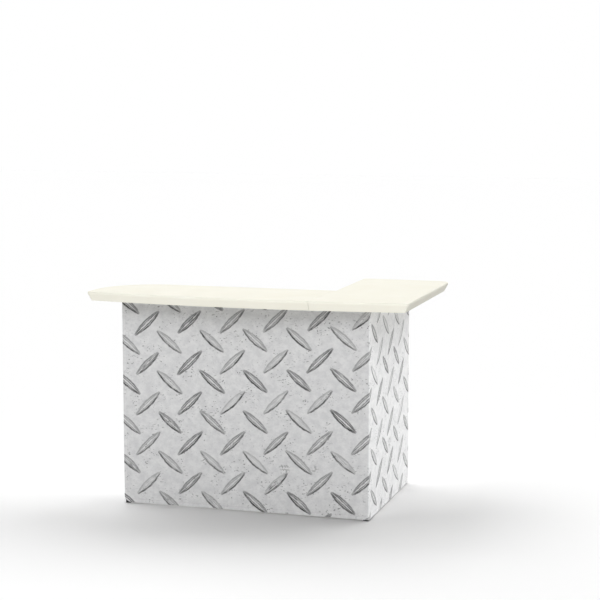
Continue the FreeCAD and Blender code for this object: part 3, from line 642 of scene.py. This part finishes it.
# %% Hem and swell
HEM_RISE = 0.7 * MM
SEAM_DRAW = 0.5 * MM
SWELL = 0.9 * MM
SWELL_REACH = 200 * MM  # from a hem to where the cloth swells in full
WAVES_ALONG, WAVES_UP, WAVE_START = 23.0, 17.0, 1.3  # radians per metre, and radians
SEAM_HALF = 1 * MM


def relief(along, height, length):
    """How far the cloth stands out at a place, from the distances to its edges."""
    edge = min(along, length - along, height - wrap_low, wrap_high - height)
    rise = HEM_RISE if edge < HEM - NEAR else 0.0
    draw = SEAM_DRAW if abs(edge - SEAM_INSET) < SEAM_HALF else 0.0
    inner = max(0.0, edge - HEM)
    wave = 0.6 + 0.4 * math.sin(WAVES_ALONG * along) * math.sin(WAVES_UP * height + WAVE_START)
    return rise - draw + SWELL * wave * min(1.0, inner / SWELL_REACH)


def dress_cloth(piece, along, length):
    """Move a sheet's points outwards, then give it a thickness and its two faces."""
    moves = [(v, v.normal * relief(along(v.co), v.co.z, length)) for v in piece.data.vertices]
    for corner, move in moves:
        corner.co += move
    piece.data.materials.append(printed_knit)
    piece.data.materials.append(knit_back)
    wall = piece.modifiers.new("cloth", "SOLIDIFY")
    wall.thickness = THICKNESS
    wall.offset = -1.0
    wall.material_offset = 1
    apply_modifiers(piece)
    smooth(35)


dress_cloth(wrap, along_wrap, wrap_length)
print("front wrap", len(wrap.data.polygons), "faces")

# %% [markdown]
# ## The wrap on the left side
# The left side has a short piece of its own, because the front's rounded corner shows that
# the cloth ends there. It crosses the left hinge, where it has to bend, so its columns lie closer there too.

# %% Left wrap
left_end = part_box("skin_left")[1].y
corner_front = wrap_front + THICKNESS
left_length = left_end - corner_front
begin()
bpy.ops.mesh.primitive_plane_add(
    size=1, location=(wrap_left, (corner_front + left_end) / 2, wrap_middle),
    rotation=(math.pi / 2, 0, -math.pi / 2))
left_wrap = bpy.context.object
left_wrap.name = "left_wrap"
left_wrap.scale = (left_length, wrap_height, 1)
bpy.ops.object.transform_apply(location=True, rotation=True, scale=True)
choose(left_wrap, lambda p: p.y < corner_front + NEAR and p.z < wrap_low + NEAR)
bpy.ops.mesh.bevel(offset=CORNER_RADIUS, segments=CORNER_STEPS, affect="VERTICES")
choose(left_wrap, lambda p: True)
cut_rows()
cut_across(1, [corner_front + d for d in HEM_STEPS])
cut_side(left_end)
bpy.ops.object.mode_set(mode="OBJECT")


def along_left(place):
    """Distance along the left cloth from its back edge."""
    return left_end - place.y


map_flat(left_wrap, along_left)
dress_cloth(left_wrap, along_left, left_length)
print("left wrap", len(left_wrap.data.polygons), "faces")

# %% [markdown]
# ## Rows of stitches
# The hems of the wrap are folded over and sewn down with one row of grey thread, 18 mm from
# the edge. A line in the material would be flat from close by, so one stitch is modelled: a
# thin six-sided rod whose ends dip into the cloth. An array repeats it along each straight
# run, and all runs of one wrap are joined into one piece.

# %% Thread
TWIST = 1.5 * MM

# a soft grey line with the light and dark of twisted yarn
thread_grey, graph = new_material("polyester_sewing_thread_grey")
place = add_node(graph, "TexCoord", output=OBJECT_PLACE)
twist = add_node(graph, "TexNoise", {"Vector": place, "Scale": 1 / TWIST, "Detail": 2.0})
colour = add_node(graph, "Mix", {0: twist, 6: linear("#A9A9AA"), 7: linear("#C9C9C9")},
                  MIXED, **COLOURS)
shader = add_node(graph, "BsdfPrincipled", {
    "Base Color": colour, "Roughness": 0.6, "Sheen Weight": 0.3})
add_node(graph, "OutputMaterial", {"Surface": shader})
print(thread_grey.name, len(graph.nodes), "nodes")

# %% One stitch
STITCH = 5 * MM
STITCH_PITCH = 7 * MM
THREAD_RADIUS = 0.6 * MM
THREAD_DIP = 0.7 * MM

begin()
bpy.ops.mesh.primitive_cylinder_add(vertices=6, radius=THREAD_RADIUS, depth=STITCH,
                                    rotation=(0, math.pi / 2, 0))
stitch = bpy.context.object
bpy.ops.object.transform_apply(location=True, rotation=True, scale=True)
choose(stitch, lambda p: True)
cut_across(0, [-0.3 * STITCH, 0.3 * STITCH])
choose(stitch, lambda p: abs(p.x) > 0.4 * STITCH)
bpy.ops.transform.translate(value=(0, 0, -THREAD_DIP))
bpy.ops.object.mode_set(mode="OBJECT")
stitch.data.materials.append(thread_grey)
print("one stitch", len(stitch.data.polygons), "faces")


# %% Sew along the hems
X, Y, Z = Vector((1, 0, 0)), Vector((0, 1, 0)), Vector((0, 0, 1))


def sew(name, runs):
    """Repeat the stitch along runs of start, direction, outward direction and length."""
    threads = []
    for start, direction, outward, length in runs:
        row = bpy.data.objects.new(name, stitch.data.copy())
        bpy.context.scene.collection.objects.link(row)
        count = max(1, int(length / STITCH_PITCH))
        repeat = row.modifiers.new("row", "ARRAY")
        repeat.count = count
        repeat.use_relative_offset = False
        repeat.use_constant_offset = True
        repeat.constant_offset_displace = (length / count, 0, 0)
        begin()
        row.select_set(True)
        apply_modifiers(row)
        sideways = outward.cross(direction)
        turn = Matrix((direction, sideways, outward)).transposed().to_4x4()
        first = start + direction * (length / count / 2) + outward * (HEM_RISE - SEAM_DRAW)
        row.data.transform(Matrix.Translation(first) @ turn)
        threads.append(row)
    sewn = join_pieces(threads)
    smooth(70)
    return sewn


def hem_corner(centre, sideways, outward):
    """Short runs round a rounded lower corner, from the upright hem to the lower one."""
    inner = CORNER_RADIUS - SEAM_INSET
    turns = [math.radians(angle) for angle in (0, 22.5, 45, 67.5)]
    return [(centre - sideways * inner * math.cos(a) - Z * inner * math.sin(a),
             (sideways * math.sin(a) - Z * math.cos(a)).normalized(), outward, STITCH_PITCH)
            for a in turns]


# %% Rows of both wraps
seam_low, seam_high = wrap_low + SEAM_INSET, wrap_high - SEAM_INSET
corner_z = wrap_low + CORNER_RADIUS
front_run = fold_x - wrap_left - SEAM_INSET
side_run = wrap_back - SEAM_INSET - fold_y
front_corner = Vector((wrap_left + CORNER_RADIUS, wrap_front, corner_z))
front_stitches = sew("front_wrap_stitches", [
    (Vector((wrap_left + SEAM_INSET, wrap_front, seam_high)), X, -Y, front_run),
    (Vector((wrap_right, fold_y, seam_high)), Y, X, side_run),
    (Vector((wrap_left + CORNER_RADIUS, wrap_front, seam_low)), X, -Y,
     fold_x - wrap_left - CORNER_RADIUS),
    (Vector((wrap_right, fold_y, seam_low)), Y, X, side_run),
    (Vector((wrap_left + SEAM_INSET, wrap_front, corner_z)), Z, -Y, seam_high - corner_z),
    (Vector((wrap_right, wrap_back - SEAM_INSET, seam_low)), Z, X, seam_high - seam_low),
    *hem_corner(front_corner, X, -Y)])
left_back = left_end - SEAM_INSET
left_front = corner_front + SEAM_INSET
left_corner = Vector((wrap_left, corner_front + CORNER_RADIUS, corner_z))
left_stitches = sew("left_wrap_stitches", [
    (Vector((wrap_left, left_front, seam_high)), Y, -X, left_back - left_front),
    (Vector((wrap_left, corner_front + CORNER_RADIUS, seam_low)), Y, -X,
     left_back - corner_front - CORNER_RADIUS),
    (Vector((wrap_left, left_front, corner_z)), Z, -X, seam_high - corner_z),
    (Vector((wrap_left, left_back, seam_low)), Z, -X, seam_high - seam_low),
    *hem_corner(left_corner, Y, -X)])
bpy.data.objects.remove(stitch)
print("stitches", len(front_stitches.data.polygons), len(left_stitches.data.polygons), "faces")

# %% [markdown]
# A sheet that crosses a hinge has to bend there, over the 52 mm where its columns lie
# closer. The sheets and their thread stand for the solids of the wrap, which are hidden.
# The flat size of each sheet is what would be cut from the roll: the length along the cloth
# and its height, less the rounded corner.

# %% Bake the cloth and its thread in place, and hide the solids they stand for
for piece in (wrap, front_stitches):
    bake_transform(piece)
for piece in (left_wrap, left_stitches):
    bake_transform(piece)
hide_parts("skin_front", "skin_corners", "skin_right")
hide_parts("skin_left")
print("front cloth", round(wrap_length, 4), "x", round(wrap_height, 4), "m")
print("left cloth", round(left_length, 4), "x", round(wrap_height, 4), "m")

# %% [markdown]
# ## Rounded tubes, caps, hinges and shelves
# Square tube is rolled, so its long edges have a radius of about twice its wall, and moulded,
# sawn or stamped pieces have a broken edge. The solids have plain sharp edges, which catch
# no light. Each of these solids could be modelled anew, but a copy keeps every hole where it
# is: the copy's loose triangles are merged, its flat faces joined, and its sharp outer edges
# bevelled.

# %% Round the edges of the hardware
# slot: radius, segments, and the shortest edge that is rounded
EDGES = {
    "frame_steel": (2.8 * MM, 4, 70 * MM),
    "cap_plastic": (1.4 * MM, 3, 3.5 * MM),
    "fitting_plastic": (1.0 * MM, 2, 0.2 * MM),
    "zinc_steel": (0.45 * MM, 2, 0.2 * MM),
    "shelf_board": (2.5 * MM, 3, 10 * MM),
}
FLAT = math.radians(1)
SHARP = math.radians(50)
MERGED = 0.01 * MM
body_of = {name: body for body, names in frame["record"]["behaviour"]["bodies"].items()
           for name in names}


def rounded_copy(name):
    """A copy of a solid with its sharp outer edges rounded, which stands for the solid."""
    radius, segments, shortest = EDGES[slot_of[name]]
    begin()
    piece = bpy.data.objects.new(name + "_rounded", nodes[name].data.copy())
    bpy.context.scene.collection.objects.link(piece)
    piece.select_set(True)
    bpy.context.view_layer.objects.active = piece
    bpy.ops.mesh.customdata_custom_splitnormals_clear()
    bpy.ops.object.mode_set(mode="EDIT")
    bpy.ops.mesh.select_all(action="SELECT")
    bpy.ops.mesh.remove_doubles(threshold=MERGED)
    bpy.ops.mesh.dissolve_limited(angle_limit=FLAT)
    bpy.ops.mesh.select_mode(type="EDGE")
    bpy.ops.mesh.select_all(action="DESELECT")
    mesh = bmesh.from_edit_mesh(piece.data)
    for edge in mesh.edges:
        edge.select_set(edge.is_manifold and edge.is_convex and edge.calc_length() > shortest
                        and edge.calc_face_angle() > SHARP)
    bmesh.update_edit_mesh(piece.data)
    bpy.ops.mesh.bevel(offset=radius, segments=segments, affect="EDGES", clamp_overlap=True)
    bpy.ops.object.mode_set(mode="OBJECT")
    smooth(30)
    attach(piece, body_of[name])
    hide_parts(name)
    return piece


hardware = [rounded_copy(name) for name in sorted(nodes) if slot_of[name] in EDGES]
print(len(hardware), "rounded pieces,", sum(len(p.data.polygons) for p in hardware), "faces")

# %% [markdown]
# ## Weld beads
# Where a tube meets another, a bead of weld runs round it under the powder. Without it the
# frame looks like blocks pushed together. Each bead starts as a thin block a little wider
# than the tube; the edge towards the tube is bevelled off, the block is divided, and its
# skin is pushed in and out a little, as the weld pool leaves it. On top the beads are ground
# flush, so that the countertop lies flat and the side frames can fold under it.

# %% Weld beads
BEAD = 2 * MM
BEAD_BEVEL = 0.85 * BEAD
BEAD_RIPPLE = 0.3 * MM
RIPPLE_PITCH = 4 * MM
top_rail_low, top_rail_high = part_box("front_top_rail")
tube_size = top_rail_high.z - top_rail_low.z


def bead(centre, run, inward):
    """One bead round a tube's end; run is the tube's axis, inward points along the tube."""
    begin()
    bpy.ops.mesh.primitive_cube_add(size=1, location=centre)
    piece = bpy.context.object
    size = [tube_size + 2 * BEAD] * 3
    size[run] = 2 * BEAD
    piece.scale = size
    bpy.ops.object.transform_apply(location=True, rotation=True, scale=True)
    choose(piece, lambda p: (p[run] - centre[run]) * inward > 0)
    bpy.ops.mesh.bevel(offset=BEAD_BEVEL, segments=3, affect="EDGES")
    bpy.ops.mesh.select_all(action="SELECT")
    bpy.ops.mesh.subdivide(number_cuts=5)
    bpy.ops.object.mode_set(mode="OBJECT")
    wave = 2 * math.pi / RIPPLE_PITCH
    moves = [(v, v.normal * BEAD_RIPPLE * math.sin(wave * (v.co.x + v.co.y + v.co.z)))
             for v in piece.data.vertices]
    for corner, move in moves:
        corner.co += move
    return piece


def tube_ends(name):
    """The two ends of a rail: the middle of each end, the rail's axis, and the way in."""
    low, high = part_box(name)
    run = max(range(3), key=lambda k: high[k] - low[k])
    middle = (low + high) / 2
    ends = []
    for place, inward in ((low[run], 1), (high[run], -1)):
        end = middle.copy()
        end[run] = place
        ends.append((end, run, inward))
    return ends


print("tubes", round(tube_size, 4), "m, beads", BEAD, "m")

# %% Places of the beads
front_rails = ["front_bottom_rail", "lower_shelf_rail", "upper_shelf_rail", "front_top_rail"]
weld_rails = {"front_frame": front_rails}
for side in ("right", "left"):
    weld_rails[side + "_wing"] = [
        f"{side}_wing_{level}_rail" for level in ("bottom", "mid", "top")]
welds = {body: [end for name in rails for end in tube_ends(name)]
         for body, rails in weld_rails.items()}
stile_low, stile_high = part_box("front_stiles")
for x in (stile_low.x + tube_size / 2, stile_high.x - tube_size / 2):
    y = (stile_low.y + stile_high.y) / 2
    for lower, upper in zip(front_rails, front_rails[1:]):
        welds["front_frame"].append((Vector((x, y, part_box(lower)[1].z)), 2, 1))
        welds["front_frame"].append((Vector((x, y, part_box(upper)[0].z)), 2, -1))
print({body: len(ends) for body, ends in welds.items()}, "beads")

# %% Weld the frames
for body, ends in welds.items():
    beads = join_pieces([bead(*end) for end in ends])
    smooth(60)
    beads.name = body + "_welds"
    ground_flush = max(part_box(name)[1].z for name in weld_rails[body]) - NEAR
    for corner in beads.data.vertices:
        corner.co.z = min(corner.co.z, ground_flush)
    beads.data.materials.append(finishes["powder_coated_steel_black"])
    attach(beads, body)
    print(beads.name, len(beads.data.polygons), "faces")

# %% [markdown]
# ## The studio
# The photograph is a product shot on a white sweep. Its shadow lies close round the foot of
# the bar and is darkest in front, so three soft key lights stand high behind it and one high
# at the left. A card high in front lights the wrap, and the countertop keeps its light off
# the top of it. The side is lighter than the front, so a second card stands low at the
# right. One lamp overhead would be simpler, but would leave the front dark. The floor and
# the sky look white to the camera, but light the bar more softly.

# %% Floor
FLOOR_SIZE = 60


def background_rays(tree):
    """1 for rays from the camera and from mirror-like or clear surfaces, 0 for all others."""
    by_camera, by_gloss, by_glass = [
        add_node(tree, "LightPath", output=ray)
        for ray in ("Is Camera Ray", "Is Glossy Ray", "Is Transmission Ray")]
    mirrored = add_node(tree, "Math", [by_camera, by_gloss], operation="MAXIMUM")
    return add_node(tree, "Math", [mirrored, by_glass], operation="MAXIMUM")


begin()
bpy.ops.mesh.primitive_plane_add(size=FLOOR_SIZE)
floor = bpy.context.object
floor.name = "studio_floor"
# matt white as a background, and pale grey as a reflector
studio_white, graph = new_material("studio_floor_paint")
floor_colour = add_node(graph, "Mix", {
    0: background_rays(graph), 6: linear("#E4E4E4"), 7: linear("#FFFFFF")}, MIXED, **COLOURS)
shader = add_node(graph, "BsdfPrincipled", {
    "Base Color": floor_colour, "Roughness": 0.9, "Specular IOR Level": 0.0})
add_node(graph, "OutputMaterial", {"Surface": shader})
floor.data.materials.append(studio_white)
print("floor", FLOOR_SIZE, "m wide")

# %% Sky
SKY_LIGHT = 0.05

world = bpy.data.worlds.new("studio_sky")
bpy.context.scene.world = world
world.use_nodes = True
graph = world.node_tree
graph.nodes.clear()
strength = add_node(graph, "MapRange", [background_rays(graph), 0.0, 1.0, SKY_LIGHT, 1.0])
sky = add_node(graph, "Background", {"Color": linear("#FFFFFF"), "Strength": strength})
add_node(graph, "OutputWorld", {"Surface": sky})
print(world.name, len(graph.nodes), "nodes")

# %% [markdown]
# In a studio, flags keep a lamp off what it should not light. Here light linking does that:
# a lamp with a list of receivers lights only those, or all but those. The two cards are kept
# off the floor, where they would wash out the shadow, and off the countertop, which has a
# card of its own.

# %% What the lamps light
counter = [solid for name, solid in nodes.items() if slot_of[name] == "counter_plastic"]
RECEIVERS = {
    "counter": (counter, "INCLUDE"),
    "all_but_counter": (counter, "EXCLUDE"),
    "wrap_and_frame": ([floor, *counter], "EXCLUDE"),
}

lit_by = {"all": None}
for lit, (pieces, state) in RECEIVERS.items():
    lit_by[lit] = bpy.data.collections.new("lit_" + lit)
    for piece in pieces:
        lit_by[lit].objects.link(piece)
    for entry in lit_by[lit].collection_objects:
        entry.light_linking.link_state = state
print(len(counter), "pieces of the countertop are lit apart")

# %% Lamps
# name: direction that it shines from, how wide it looks in degrees, how bright a white card
# that faces it gets, and what it lights
LAMPS = {
    "key_from_behind": ((0.0, 0.57, 0.82), 40, 0.31, "all"),
    "key_from_behind_left": ((-0.5, 0.5, 0.71), 40, 0.24, "all"),
    "key_from_behind_right": ((0.5, 0.5, 0.71), 40, 0.31, "all"),
    "key_from_left": ((-0.5, 0.0, 0.87), 40, 0.35, "all_but_counter"),
    "card_at_right": ((0.98, -0.15, 0.03), 30, 0.41, "wrap_and_frame"),
    "card_in_front": ((0.45, -0.62, 0.64), 40, 0.62, "wrap_and_frame"),
    "card_at_counter": ((0.2, -0.84, 0.4), 30, 0.72, "counter"),
}

for name, (direction, width, brightness, lit) in LAMPS.items():
    lamp = bpy.data.lights.new(name, "SUN")
    lamp.angle = math.radians(width)
    lamp.energy = brightness * math.pi
    holder = bpy.data.objects.new(name, lamp)
    bpy.context.scene.collection.objects.link(holder)
    holder.rotation_euler = Vector(direction).to_track_quat("Z", "Y").to_euler()
    holder.light_linking.receiver_collection = lit_by[lit]
    print(name, round(lamp.energy, 2), "W per square metre")

# %% [markdown]
# ## The camera
# The camera stands where the photograph was taken from: about 8 m in front, a little to the
# right and twice as high as the bar, with a long lens. Its place was found by fitting the
# corners of the body to those in the photograph.

# %% Camera
CAMERA_PLACE = (2.552, -7.922, 2.067)
CAMERA_TILT, CAMERA_TURN = math.radians(82.70), math.radians(16.86)

camera_lens = bpy.data.cameras.new("camera")
camera_lens.lens = 99.7
camera_lens.sensor_width = 36.0
camera = bpy.data.objects.new("camera", camera_lens)
bpy.context.scene.collection.objects.link(camera)
camera.location = CAMERA_PLACE
camera.rotation_euler = (CAMERA_TILT, 0.0, CAMERA_TURN)
bpy.context.scene.camera = camera
bpy.context.scene.view_settings.view_transform = "Standard"
print("camera", round(Vector(CAMERA_PLACE).length, 2), "m away, lens", camera_lens.lens, "mm")
